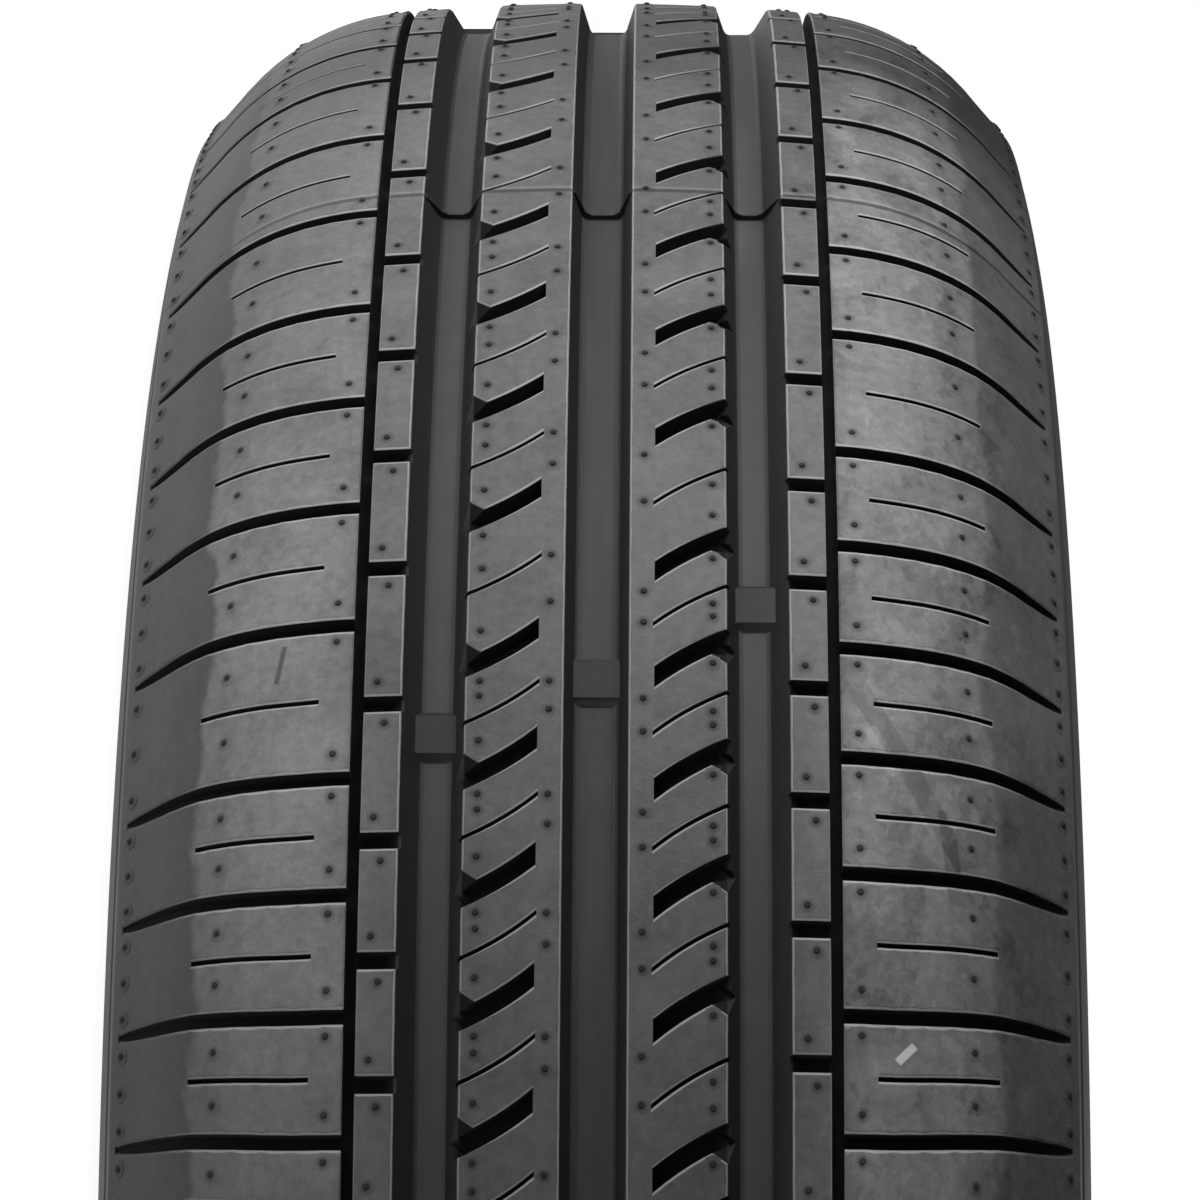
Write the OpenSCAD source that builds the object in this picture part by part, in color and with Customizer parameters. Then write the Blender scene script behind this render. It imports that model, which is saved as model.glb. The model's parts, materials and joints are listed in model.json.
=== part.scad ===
// A tubeless radial car tyre, moulded in one piece. It lies on its side: its axis of turning is Z,
// and the origin is on that axis, halfway between the two sidewalls.
// In the section outline x is the radius from the axis and y is the height over the mid-plane.

/* [Size] */
// Outer diameter over the tread
tread_d = 634.5; // [625:0.5:645]
// Width over the sidewalls
section_w = 201; // [197:0.5:206]
// Radius of the seat that grips the wheel rim
bead_seat_r = 190.1; // [187:0.1:192]
// Width between the flanges of the wheel rim
rim_w = 152.4; // [148:0.1:155]

/* [Wall] */
// Thickness under the middle of the tread, over the ribs
tread_t = 14.2; // [13:0.1:17]
// Thickness at the widest place of the sidewall
side_t = 7; // [5:0.1:9]
// Radius of the round inside corner between tread and sidewall
liner_corner_r = 50; // [48:1:52]

/* [Profile] */
// Radius of the flat arc across the crown
crown_arc_r = 545; // [400:5:800]
// Land on the shoulder beside the thin groove, before the shoulder starts to turn down
shoulder_land = 1.6; // [1:0.1:3]
// Slope of the buttress below the shoulder, in degrees
buttress_slope = 48.4; // [47:0.2:50]
// Distance from the mid-plane at which the buttress leaves the shoulder arc
buttress_z = 88.5; // [87.5:0.5:89.5]
// Distance from the mid-plane of the tread edge, where the buttress ends
tread_edge_z = 96; // [95:0.1:96.5]
// Radius from the axis of the fine line moulded below the tread edge
edge_line_r = 282; // [280:0.5:283]
// Depth of that line
edge_line_depth = 0.9; // [0.5:0.1:1.2]
// Radius of the side arc between the tread edge and the side step
upper_side_r = 105; // [95:1:120]
// Radius from the axis of the step between the upper band and the wall
side_step_r = 271; // [268:0.5:275]
// Height of that step
side_step = 0.8; // [0.4:0.1:1.2]
// Radius from the axis at which the wall is widest
widest_r = 254; // [252:1:256]
// Radius of the wall's own arc
wall_arc_r = 75; // [72:1:80]
// Radius from the axis of the fine rib that shows how true the tyre sits on its rim
fitting_line_r = 228; // [225:1:240]
// Height of that rib
fitting_line_h = 0.7; // [0.4:0.1:1]

/* [Bead] */
// Length of the cylindrical seat of each bead
bead_seat_l = 8.4; // [7:0.1:10]
// Radius of the bead heel
bead_heel_r = 6; // [4:0.5:7]
// Height of the bead's inner face, from the toe to the round inside
toe_h = 15.5; // [13:0.5:18]
// Height of the rim flange that the bead fits under
flange_h = 17.5; // [17:0.1:18.5]
// Radius of the hollow that sits on the rim flange
flange_r = 9.5; // [8:0.5:10.5]
// Height of the rim protector's edge over the bead seat
protector_h = 22; // [21:0.5:24]
// Width of that edge
protector_edge = 2; // [1:0.5:3]
// How far the rim protector reaches out past the rim on each side
protector_reach = 15.8; // [15:0.1:16.5]

/* [Tread ribs and grooves] */
// Width of the groove in the middle
centre_groove_w = 13; // [10:0.1:15]
// Width of each centre rib
centre_rib_w = 19.4; // [17:0.1:21]
// Width of each main groove
main_groove_w = 12.65; // [10:0.05:14]
// Width of each narrow rib
narrow_rib_w = 7.45; // [6:0.05:9]
// Width of each thin groove
thin_groove_w = 2.45; // [2:0.05:3]
// Depth of the wide grooves
groove_depth = 7.5; // [6.5:0.1:8.5]
// Depth of the thin grooves
thin_groove_depth = 5.5; // [4:0.1:6.5]
// Draft of a groove wall on its inner side
inner_draft = 2.4; // [1:0.1:3]
// Draft of a groove wall on its outer side
outer_draft = 3.6; // [1:0.1:4]
// Break on the floor corners of the wide grooves
floor_break = 0.8; // [0.4:0.1:1.2]
// Break on the edges of the middle groove
edge_break = 0.5; // [0.2:0.1:0.8]

/* [Pitches] */
// Order of the short, medium and long pitches round the tyre
pitch_order = "SMSSSSLMMMLLLMSSMSLMSSMLSSMLMSSLMSMSLMSSMLSMMSLSSMLMSSLMMSLSSMLSSMMLML";
// Length of a medium pitch, against a short one
medium_pitch = 1.175; // [1.05:0.005:1.25]
// Length of a long pitch, against a short one
long_pitch = 1.3975; // [1.25:0.0025:1.5]
// Turn of the lower centre rib, in degrees
lower_centre_turn = -3.44; // [-10:0.01:10]
// Turn of the upper centre rib, in degrees
upper_centre_turn = -1; // [-10:0.01:10]
// Turn of the lower shoulder, in degrees
lower_shoulder_turn = -9.37; // [-12:0.01:10]
// Turn of the upper shoulder, in degrees
upper_shoulder_turn = 4.88; // [-10:0.01:10]
// Turn of the lower narrow rib's slots from the middles of the lower shoulder blocks, in degrees
lower_narrow_turn = -0.2; // [-1:0.1:1]
// Turn of the upper narrow rib's slots from the middles of the upper shoulder blocks, in degrees
upper_narrow_turn = 0.5; // [-1:0.1:1]

/* [Slots and sipes] */
// Depth of the slots in the centre ribs
slot_depth = 5.2; // [3:0.1:6]
// Width of a centre slot at its closed end, measured round the tread
slot_tip_w = 4.8; // [3.5:0.1:5.5]
// Width of a centre slot where it opens into the main groove
slot_mouth_w = 4.4; // [3.5:0.1:5.5]
// How far each centre slot stays clear of the centre groove
slot_end_gap = 5; // [4:0.1:8]
// Radius of a centre slot's curve
slot_curve_r = 58; // [45:1:70]
// Slope of the slot at its closed end, in degrees from across the tread
slot_tip_slope = 40.5; // [38:0.5:44]
// Width of the corner cut at the slot's mouth
corner_cut_w = 3.2; // [1:0.1:4]
// Length of that corner cut round the tread
corner_cut_l = 3.9; // [1:0.1:4.5]
// How far the slots and sipes reach past the edge of a rib into the wall of the main groove
mouth_reach = 0.4; // [0.2:0.1:0.6]
// Width of the sipes
sipe_w = 0.9; // [0.6:0.1:1.4]
// Depth of the sipes
sipe_depth = 4; // [2:0.1:5]
// Width of the slots across the narrow ribs
narrow_slot_w = 3.5; // [2:0.1:4.5]
// Depth of the slots across the narrow ribs
narrow_slot_depth = 5; // [3:0.1:5.4]
// Width of the shoulder grooves
shoulder_groove_w = 3; // [2:0.1:4]
// Depth of the shoulder grooves
shoulder_groove_depth = 5; // [3:0.1:5.4]
// Distance from the mid-plane up to which the shoulder grooves keep their full depth
shoulder_full_z = 64; // [60:0.5:68]
// Distance from the mid-plane at which the shoulder grooves start to run out down the buttress
shoulder_groove_z = 79; // [74:0.5:82]
// Distance from the mid-plane at which the shoulder grooves run out
shoulder_runout_z = 94.4; // [92:0.1:95]
// Depth of a shoulder groove where it starts to run out
runout_depth = 3.2; // [2:0.1:4]
// Distance from the mid-plane at which the shoulder sipes start
shoulder_sipe_z = 55; // [52:0.5:60]
// Length of the shoulder sipes, measured along the axis
shoulder_sipe_l = 24.4; // [18:0.2:26]

/* [Wear bars] */
// Number of wear bars in each wide groove
wear_bars = 6; // [4:1:8]
// Height of a wear bar over the groove floor
wear_bar_h = 1.6; // [1:0.1:2]
// Length of a wear bar round the tread
wear_bar_l = 9; // [6:0.5:12]
// Turn of the bars in the lower, centre and upper grooves, in degrees
wear_bar_turns = [19.9, 22.2, 25.4];

/* [Hidden] */
$fn = 180;
tread_r = tread_d / 2;
side_z = section_w / 2;
bead_z = rim_w / 2;
// How far a cutter stands out past the surface that it cuts
above = 3;
// How far a wear bar goes down into the floor of its groove
bar_root = 1;
// Turn at which the round inside corner meets the straight inside of the tread
liner_end_turn = 4;
// Number of straight steps in each curve
shoulder_steps = 4;
band_steps = 3;
wall_steps = 10;
rim_side_steps = 2;
flange_steps = 6;
heel_steps = 5;
hollow_steps = 24;
slot_steps = 2;

// Heights over the mid-plane of the groove edges and of the end of the crown
centre_rib_z = centre_groove_w / 2;
main_groove_z = centre_rib_z + centre_rib_w;
narrow_rib_z = main_groove_z + main_groove_w;
thin_groove_z = narrow_rib_z + narrow_rib_w;
shoulder_z = thin_groove_z + thin_groove_w;
crown_z = shoulder_z + shoulder_land;

// The shoulder arc touches the crown arc and would reach as wide as the sidewall
shoulder_arc_r = (side_z - crown_z) / (1 - crown_z / crown_arc_r);
shoulder_arc_z = side_z - shoulder_arc_r;
shoulder_arc_x = tread_r - crown_arc_r + (crown_arc_r - shoulder_arc_r) * cos(asin(crown_z / crown_arc_r));

// Radius of the crown arc, of the shoulder arc and of the buttress at a height over the mid-plane
function crown_r(z) = tread_r - crown_arc_r + sqrt(pow(crown_arc_r, 2) - z * z);
function arc_r(z) = shoulder_arc_x + sqrt(pow(shoulder_arc_r, 2) - pow(z - shoulder_arc_z, 2));
function buttress_r(z) = arc_r(buttress_z) - (z - buttress_z) * tan(buttress_slope);

// Height over the mid-plane of the wall and of the band above the side step, at a radius from the axis
function wall_z(r) = side_z - wall_arc_r + sqrt(pow(wall_arc_r, 2) - pow(r - widest_r, 2));
band_shift = wall_z(side_step_r) + side_step - sqrt(pow(upper_side_r, 2) - pow(side_step_r - widest_r, 2));
function band_z(r) = band_shift + sqrt(pow(upper_side_r, 2) - pow(r - widest_r, 2));

// The middle of the round inside corner, as a radius from the axis and a height
liner_r = tread_r - tread_t;
liner_corner_x = liner_r - liner_corner_r;
liner_corner_z = side_z - side_t - liner_corner_r;
toe_z = bead_z - bead_heel_r - bead_seat_l;

// Height over the mid-plane of the centre slots' closed ends
slot_tip_z = centre_rib_z + slot_end_gap;

// The side of the tyre that faces along -Y is at turn 0, and turns grow clockwise seen from above
front_turn = 270;

// Pitches as turns in degrees, and where each one starts
pitch_count = len(pitch_order);
function pitch_length(i) = pitch_order[i] == "S" ? 1 : pitch_order[i] == "M" ? medium_pitch : long_pitch;
function length_before(i) = i == 0 ? 0 : length_before(i - 1) + pitch_length(i - 1);
degrees_each = 360 / length_before(pitch_count);
pitch_starts = [for (i = [0:pitch_count - 1]) length_before(i) * degrees_each];
pitch_middles = [for (i = [0:pitch_count - 1]) (length_before(i) + pitch_length(i) / 2) * degrees_each];

// Points along an arc, along the wall and along the band
function arc_points(x, y, r, from, to, steps) =
    [for (i = [0:steps]) let (a = from + (to - from) * i / steps) [x + r * cos(a), y + r * sin(a)]];
function wall_points(from_r, to_r, steps) =
    [for (i = [0:steps]) let (r = from_r + (to_r - from_r) * i / steps) [r, wall_z(r)]];
function band_points(from_r, to_r, steps) =
    [for (i = [0:steps]) let (r = from_r + (to_r - from_r) * i / steps) [r, band_z(r)]];
function flipped(points) = [for (i = [len(points) - 1:-1:0]) [points[i][0], -points[i][1]]];

// The outline over the mid-plane, from the crown down the outside to the bead and up the hollow
crown_points = [for (z = [centre_rib_z, main_groove_z, narrow_rib_z, thin_groove_z]) [crown_r(z), z]];
shoulder_points = arc_points(shoulder_arc_x, shoulder_arc_z, shoulder_arc_r,
    asin((shoulder_z - thin_groove_w / 2 - shoulder_arc_z) / shoulder_arc_r),
    asin((buttress_z - shoulder_arc_z) / shoulder_arc_r), shoulder_steps);
edge_points = concat([[buttress_r(tread_edge_z), tread_edge_z],
        [edge_line_r + edge_line_depth, band_z(edge_line_r + edge_line_depth)],
        [edge_line_r, band_z(edge_line_r) - edge_line_depth]],
    band_points(edge_line_r - edge_line_depth, side_step_r, band_steps));
protector_r = bead_seat_r + protector_h;
protector_z = bead_z + protector_reach;
side_points = concat(wall_points(side_step_r, fitting_line_r + fitting_line_h, wall_steps),
    [[fitting_line_r, wall_z(fitting_line_r) + fitting_line_h]],
    wall_points(fitting_line_r - fitting_line_h, protector_r + flange_r, rim_side_steps),
    [[protector_r + protector_edge, protector_z], [protector_r, protector_z]]);
bead_points = concat(
    arc_points(bead_seat_r + flange_h - flange_r, bead_z + flange_r, flange_r, 0, -90, flange_steps),
    arc_points(bead_seat_r + bead_heel_r, bead_z - bead_heel_r, bead_heel_r, 90, 180, heel_steps),
    [[bead_seat_r, toe_z]]);
hollow_points = arc_points(liner_corner_x, liner_corner_z, liner_corner_r,
    acos((bead_seat_r + toe_h - liner_corner_x) / liner_corner_r), liner_end_turn, hollow_steps);
upper_outline = concat(crown_points, shoulder_points, edge_points, side_points, bead_points, hollow_points);

// A wide groove that runs all the way round between two heights over the mid-plane,
// with drafted walls, broken floor corners and top edges broken by a given amount
module wide_groove(from_z, to_z, from_draft, to_draft, top_break) {
    from_r = crown_r(from_z);
    to_r = crown_r(to_z);
    floor_r = min(from_r, to_r) - groove_depth;
    wall_h = groove_depth - top_break - floor_break;
    from_lean = top_break > 0 ? above + top_break : -above * from_draft / wall_h;
    to_lean = top_break > 0 ? above + top_break : -above * to_draft / wall_h;
    polygon([[from_r + above, from_z - from_lean], [from_r - top_break, from_z],
        [floor_r + floor_break, from_z + from_draft], [floor_r, from_z + from_draft + floor_break],
        [floor_r, to_z - to_draft - floor_break], [floor_r + floor_break, to_z - to_draft],
        [to_r - top_break, to_z], [to_r + above, to_z + to_lean]]);
}

module tyre_section() {
    difference() {
        polygon(concat([[tread_r, 0]], upper_outline, flipped(upper_outline)));
        wide_groove(-centre_rib_z, centre_rib_z, inner_draft, inner_draft, edge_break);
        for (side = [0, 1])
            mirror([0, side]) {
                wide_groove(main_groove_z, narrow_rib_z, inner_draft, outer_draft, 0);
                translate([crown_r(thin_groove_z) - thin_groove_depth, thin_groove_z])
                    square([thin_groove_depth + above, thin_groove_w]);
            }
    }
}

// A cutter's own place: x outwards, y back along the turn of the rows, z along the axis
module at_turn(degrees) {
    rotate([0, 0, front_turn - degrees]) children();
}

// A straight cut across the tread, with radial walls, from its outline in the section
module radial_cut(width) {
    turn = 2 * asin(width / 2 / tread_r);
    rotate([0, 0, -turn / 2]) rotate_extrude(angle = turn) children();
}

// It keeps its depth along the shoulder, gets shallower down the buttress and runs out above the tread edge
module shoulder_groove() {
    start_z = thin_groove_z + thin_groove_w / 2;
    out_z = (shoulder_runout_z + tread_edge_z) / 2;
    out_depth = runout_depth * (shoulder_runout_z - out_z) / (shoulder_runout_z - shoulder_groove_z);
    radial_cut(shoulder_groove_w)
        polygon([[arc_r(start_z) - shoulder_groove_depth, start_z],
            [arc_r(shoulder_full_z) - shoulder_groove_depth, shoulder_full_z],
            [arc_r(shoulder_groove_z) - runout_depth, shoulder_groove_z],
            [buttress_r(out_z) - out_depth, out_z],
            [tread_r + above, out_z], [tread_r + above, start_z]]);
}

module shoulder_sipe() {
    far_z = shoulder_sipe_z + shoulder_sipe_l;
    radial_cut(sipe_w)
        polygon([[arc_r(shoulder_sipe_z) - sipe_depth, shoulder_sipe_z], [arc_r(far_z) - sipe_depth, far_z],
            [tread_r + above, far_z], [tread_r + above, shoulder_sipe_z]]);
}

module narrow_slot() {
    start_z = narrow_rib_z - mouth_reach;
    radial_cut(narrow_slot_w)
        translate([crown_r(narrow_rib_z) - narrow_slot_depth, start_z])
            square([narrow_slot_depth + above, thin_groove_z + thin_groove_w / 2 - start_z]);
}

// How far round the tread the curve of the centre slots has risen at a height over the mid-plane
function slot_rise(z) =
    let (slope = sin(slot_tip_slope) - (z - slot_tip_z) / slot_curve_r)
    slot_curve_r * (sqrt(1 - slope * slope) - cos(slot_tip_slope));

// A cut that follows the curve from its closed end through the rib's edge, in a number of
// straight steps; the corner of the block beside its mouth can be taken off
module curved_cut(tip_w, mouth_w, depth, corner_l) {
    tail_z = main_groove_z + mouth_reach;
    bend_z = main_groove_z - corner_cut_w;
    heights = [for (i = [0:slot_steps]) slot_tip_z + (bend_z - slot_tip_z) * i / slot_steps];
    function half_w(z) = (tip_w + (mouth_w - tip_w) * (z - slot_tip_z) / (main_groove_z - slot_tip_z)) / 2;
    bend_y = half_w(bend_z) - slot_rise(bend_z);
    mouth_y = half_w(main_groove_z) + corner_l - slot_rise(main_groove_z);
    tail_y = bend_y + (mouth_y - bend_y) * (tail_z - bend_z) / corner_cut_w;
    translate([crown_r(main_groove_z) - depth, 0, 0])
        rotate([90, 0, 90])
            linear_extrude(depth + above)
                polygon(concat([for (z = heights) [half_w(z) - slot_rise(z), z]],
                    [[tail_y, tail_z], [-half_w(tail_z) - slot_rise(tail_z), tail_z]],
                    [for (i = [slot_steps:-1:0]) [-half_w(heights[i]) - slot_rise(heights[i]), heights[i]]]));
}

module centre_slot() {
    curved_cut(slot_tip_w, slot_mouth_w, slot_depth, corner_cut_l);
}

module centre_sipe() {
    curved_cut(sipe_w, sipe_w, sipe_depth, 0);
}

// A low bar across a wide groove, which comes level with the tread when the tyre is worn out
module wear_bar(from_z, to_z, from_draft, to_draft) {
    floor_r = min(crown_r(from_z), crown_r(to_z)) - groove_depth;
    start_z = from_z + from_draft / 2;
    translate([floor_r - bar_root, -wear_bar_l / 2, start_z])
        cube([wear_bar_h + bar_root, wear_bar_l, to_z - to_draft / 2 - start_z]);
}

module wear_bars_round(first) {
    for (i = [0:wear_bars - 1]) at_turn(first + i * 360 / wear_bars) children();
}

module tyre_body() {
    rotate_extrude() tyre_section();
    wear_bars_round(wear_bar_turns[0])
        mirror([0, 0, 1]) wear_bar(main_groove_z, narrow_rib_z, inner_draft, outer_draft);
    wear_bars_round(wear_bar_turns[1])
        wear_bar(-centre_rib_z, centre_rib_z, inner_draft, inner_draft);
    wear_bars_round(wear_bar_turns[2])
        wear_bar(main_groove_z, narrow_rib_z, inner_draft, outer_draft);
}

module centre_cuts(turn) {
    for (start = pitch_starts) at_turn(turn + start) children(0);
    for (middle = pitch_middles) at_turn(turn + middle) children(1);
}

module shoulder_cuts(turn, narrow_turn) {
    for (start = pitch_starts)
        at_turn(turn + start) shoulder_groove();
    for (middle = pitch_middles) {
        at_turn(turn + middle) shoulder_sipe();
        at_turn(turn + middle + narrow_turn) narrow_slot();
    }
}

module tyre() {
    color([0.12, 0.12, 0.125])
        difference() {
            tyre_body();
            centre_cuts(upper_centre_turn) { centre_slot(); centre_sipe(); }
            centre_cuts(lower_centre_turn) {
                rotate([180, 0, 0]) centre_slot();
                rotate([180, 0, 0]) centre_sipe();
            }
            shoulder_cuts(upper_shoulder_turn, upper_narrow_turn);
            mirror([0, 0, 1]) shoulder_cuts(lower_shoulder_turn, lower_narrow_turn);
        }
}

tyre();
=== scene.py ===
import json
import math

import bmesh
import bpy
from mathutils import Matrix, Vector
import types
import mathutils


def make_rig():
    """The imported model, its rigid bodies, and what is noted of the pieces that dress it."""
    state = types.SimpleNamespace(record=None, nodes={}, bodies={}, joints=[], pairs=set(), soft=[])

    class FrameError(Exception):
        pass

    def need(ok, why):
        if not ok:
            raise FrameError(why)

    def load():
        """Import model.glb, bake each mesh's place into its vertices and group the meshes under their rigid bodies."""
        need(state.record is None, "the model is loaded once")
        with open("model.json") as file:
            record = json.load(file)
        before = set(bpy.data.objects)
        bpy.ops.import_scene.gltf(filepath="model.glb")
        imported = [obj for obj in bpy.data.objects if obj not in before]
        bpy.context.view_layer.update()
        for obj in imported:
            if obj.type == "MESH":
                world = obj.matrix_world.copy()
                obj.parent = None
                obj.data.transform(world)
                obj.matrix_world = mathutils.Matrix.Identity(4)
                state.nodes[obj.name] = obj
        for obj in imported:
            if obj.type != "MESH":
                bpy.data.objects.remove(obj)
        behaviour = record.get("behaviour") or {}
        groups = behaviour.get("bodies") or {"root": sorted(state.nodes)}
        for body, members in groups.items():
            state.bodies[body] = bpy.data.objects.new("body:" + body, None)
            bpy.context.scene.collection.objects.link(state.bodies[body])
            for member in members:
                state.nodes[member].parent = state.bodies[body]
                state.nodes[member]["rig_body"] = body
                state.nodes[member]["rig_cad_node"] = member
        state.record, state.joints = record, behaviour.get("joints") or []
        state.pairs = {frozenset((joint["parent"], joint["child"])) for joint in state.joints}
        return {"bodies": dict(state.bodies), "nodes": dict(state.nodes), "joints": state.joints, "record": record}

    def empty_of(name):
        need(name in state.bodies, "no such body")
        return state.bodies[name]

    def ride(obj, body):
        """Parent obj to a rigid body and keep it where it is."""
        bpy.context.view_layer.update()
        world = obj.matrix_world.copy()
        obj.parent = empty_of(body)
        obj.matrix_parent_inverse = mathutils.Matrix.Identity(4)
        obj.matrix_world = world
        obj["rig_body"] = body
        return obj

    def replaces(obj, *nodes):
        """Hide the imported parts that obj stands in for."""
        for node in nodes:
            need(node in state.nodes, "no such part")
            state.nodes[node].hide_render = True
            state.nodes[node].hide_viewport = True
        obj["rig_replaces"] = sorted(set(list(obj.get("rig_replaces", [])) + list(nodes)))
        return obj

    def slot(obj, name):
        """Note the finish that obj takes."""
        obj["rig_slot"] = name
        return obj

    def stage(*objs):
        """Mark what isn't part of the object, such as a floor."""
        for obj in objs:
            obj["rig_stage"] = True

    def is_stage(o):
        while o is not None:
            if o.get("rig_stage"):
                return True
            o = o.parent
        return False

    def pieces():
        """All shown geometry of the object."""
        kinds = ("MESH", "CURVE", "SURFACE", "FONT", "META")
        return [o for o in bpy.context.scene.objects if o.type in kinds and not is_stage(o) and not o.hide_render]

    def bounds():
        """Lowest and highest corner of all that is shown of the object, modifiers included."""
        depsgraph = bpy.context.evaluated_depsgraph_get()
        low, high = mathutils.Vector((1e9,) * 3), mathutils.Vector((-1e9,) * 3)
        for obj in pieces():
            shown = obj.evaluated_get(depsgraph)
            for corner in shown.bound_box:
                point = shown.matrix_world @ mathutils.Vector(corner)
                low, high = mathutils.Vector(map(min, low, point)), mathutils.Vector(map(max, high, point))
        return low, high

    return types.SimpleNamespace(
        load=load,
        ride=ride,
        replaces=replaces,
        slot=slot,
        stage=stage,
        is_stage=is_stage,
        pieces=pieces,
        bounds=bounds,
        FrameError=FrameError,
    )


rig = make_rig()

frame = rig.load()
cad_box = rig.bounds()
scene = bpy.context.scene
scene.view_settings.view_transform = "Standard"

# The bare ring: a moulded rubber body with a flat crown, two wide grooves, a middle groove and two
# thin ones, round shoulders, sidewalls, beads and the hollow inside. Its half section is drawn once,
# from the middle of the crown to the middle of the hollow, then mirrored and spun round the axis.
MM = 0.001
TREAD_R = 317.25
SIDE_Z = 100.5
BEAD_Z = 76.2
BEAD_SEAT_R = 190.1
CROWN_ARC = 545.0
GROOVE_DEPTH = 7.5
THIN_DEPTH = 5.5
INNER_DRAFT = 2.4
OUTER_DRAFT = 3.6
RIB_EDGES = (6.5, 25.9, 38.55, 46.0, 48.43)
EDGE_ROUND = 0.4
FLOOR_ROUND = 1.1
RING_STEPS = 200

land_end = RIB_EDGES[4] + 1.6
shoulder_arc = (SIDE_Z - land_end) / (1 - land_end / CROWN_ARC)
shoulder_z = SIDE_Z - shoulder_arc
land_lean = math.asin(land_end / CROWN_ARC)
shoulder_x = TREAD_R - CROWN_ARC + (CROWN_ARC - shoulder_arc) * math.cos(land_lean)
BUTTRESS_Z = 88.5
buttress_rise = math.tan(math.radians(48.4))


def tread_radius(z):
    """Radius of the worn surface at a distance from the mid-plane, down to the tread edge."""
    z = abs(z)
    if z <= land_end:
        return TREAD_R - CROWN_ARC + math.sqrt(CROWN_ARC**2 - z * z)
    arc = shoulder_x + math.sqrt(shoulder_arc**2 - (min(z, BUTTRESS_Z) - shoulder_z) ** 2)
    return arc - max(0.0, z - BUTTRESS_Z) * buttress_rise


def spread(low, high, steps):
    """Evenly spaced values from low to high."""
    return [low + (high - low) * i / steps for i in range(steps + 1)]


def bend(x, z, radius, start, end, steps):
    """Points along an arc round a centre, from one angle to another in degrees."""
    return [
        (x + radius * math.cos(math.radians(a)), z + radius * math.sin(math.radians(a)))
        for a in spread(start, end, steps)
    ]


def groove_wall(edge, draft, depth, turn):
    """A groove's rounded edge, drafted wall and floor corner; turn is 1 where the groove is outside."""
    top = tread_radius(edge)
    floor = TREAD_R - depth
    return [
        (tread_radius(edge - turn * EDGE_ROUND), edge - turn * EDGE_ROUND),
        (top - 0.3 * EDGE_ROUND, edge - turn * 0.3 * EDGE_ROUND),
        (top - EDGE_ROUND, edge + turn * draft * EDGE_ROUND / depth),
        (floor + FLOOR_ROUND, edge + turn * draft * (1 - FLOOR_ROUND / depth)),
        (floor + 0.3 * FLOOR_ROUND, edge + turn * (draft + 0.2 * FLOOR_ROUND)),
        (floor, edge + turn * (draft + FLOOR_ROUND)),
    ]


centre, inner, outer, narrow, shoulder_edge = RIB_EDGES
half = [(TREAD_R - GROOVE_DEPTH, 0.0)]
half += reversed(groove_wall(centre, INNER_DRAFT, GROOVE_DEPTH, -1))
half += [(tread_radius(z), z) for z in spread(centre + 2, inner - 2, 3)]
half += groove_wall(inner, INNER_DRAFT, GROOVE_DEPTH, 1)
half += reversed(groove_wall(outer, OUTER_DRAFT, GROOVE_DEPTH, -1))
thin = [
    (tread_radius(narrow - 0.3), narrow - 0.3),
    (tread_radius(narrow) - 0.3, narrow),
    (tread_radius(narrow) - THIN_DEPTH + 0.5, narrow),
    (tread_radius(narrow) - THIN_DEPTH, narrow + 0.5),
]
half += thin + [(r, narrow + shoulder_edge - z) for r, z in reversed(thin)]
half += [(tread_radius(z), z) for z in range(50, 87, 3)]
half += [(tread_radius(z), z) for z in (BUTTRESS_Z, 91, 93.5, 95.2, 95.7)]

EDGE_LINE_R, STEP_R, WIDEST_R, RIM_LINE_R = 282.0, 271.0, 254.0, 228.0
WALL_ARC, BAND_ARC = 75.0, 105.0


def wall_width(r):
    """How far the sidewall stands out from the mid-plane at a radius."""
    return SIDE_Z - WALL_ARC + math.sqrt(WALL_ARC**2 - (r - WIDEST_R) ** 2)


band_shift = wall_width(STEP_R) + 0.8 - math.sqrt(BAND_ARC**2 - (STEP_R - WIDEST_R) ** 2)


def band_width(r):
    """How far the band between the side step and the tread edge stands out at a radius."""
    return band_shift + math.sqrt(BAND_ARC**2 - (r - WIDEST_R) ** 2)


edge_r = tread_radius(96.0)
half += [(edge_r - 0.1, 96.0), (edge_r - 0.6, band_width(edge_r - 0.6))]
half += [(EDGE_LINE_R + 0.9, band_width(EDGE_LINE_R + 0.9))]
half += [(EDGE_LINE_R, band_width(EDGE_LINE_R) - 0.9)]
half += [(r, band_width(r)) for r in spread(EDGE_LINE_R - 0.9, STEP_R + 0.3, 4)]
half += [(STEP_R, band_width(STEP_R) - 0.3)]
half += [(r, wall_width(r)) for r in spread(STEP_R - 0.2, RIM_LINE_R + 0.7, 11)]
half += [(RIM_LINE_R, wall_width(RIM_LINE_R) + 0.7)]
HEEL_ARC, SEAT_L, TOE_H = 6, 8.4, 15.5
LINER_ARC, CROWN_WALL, SIDE_WALL = 50, 14.2, 7
protector_r, protector_z, flange_arc, flange_h = BEAD_SEAT_R + 22, BEAD_Z + 15.8, 9.5, 17.5
half += [(r, wall_width(r)) for r in spread(RIM_LINE_R - 0.7, protector_r + flange_arc, 2)]
half += [(protector_r + 2, protector_z + 0.3), (protector_r, protector_z)]
half += [(protector_r - 1, protector_z - 0.6)]
half += bend(BEAD_SEAT_R + flange_h - flange_arc, BEAD_Z + flange_arc, flange_arc, 0, -90, 6)
half += bend(BEAD_SEAT_R + HEEL_ARC, BEAD_Z - HEEL_ARC, HEEL_ARC, 90, 180, 5)
half += [(BEAD_SEAT_R, BEAD_Z - HEEL_ARC - SEAT_L)]
liner_x, liner_z = TREAD_R - CROWN_WALL - LINER_ARC, SIDE_Z - SIDE_WALL - LINER_ARC
toe_angle = math.degrees(math.acos((BEAD_SEAT_R + TOE_H - liner_x) / LINER_ARC))
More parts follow.
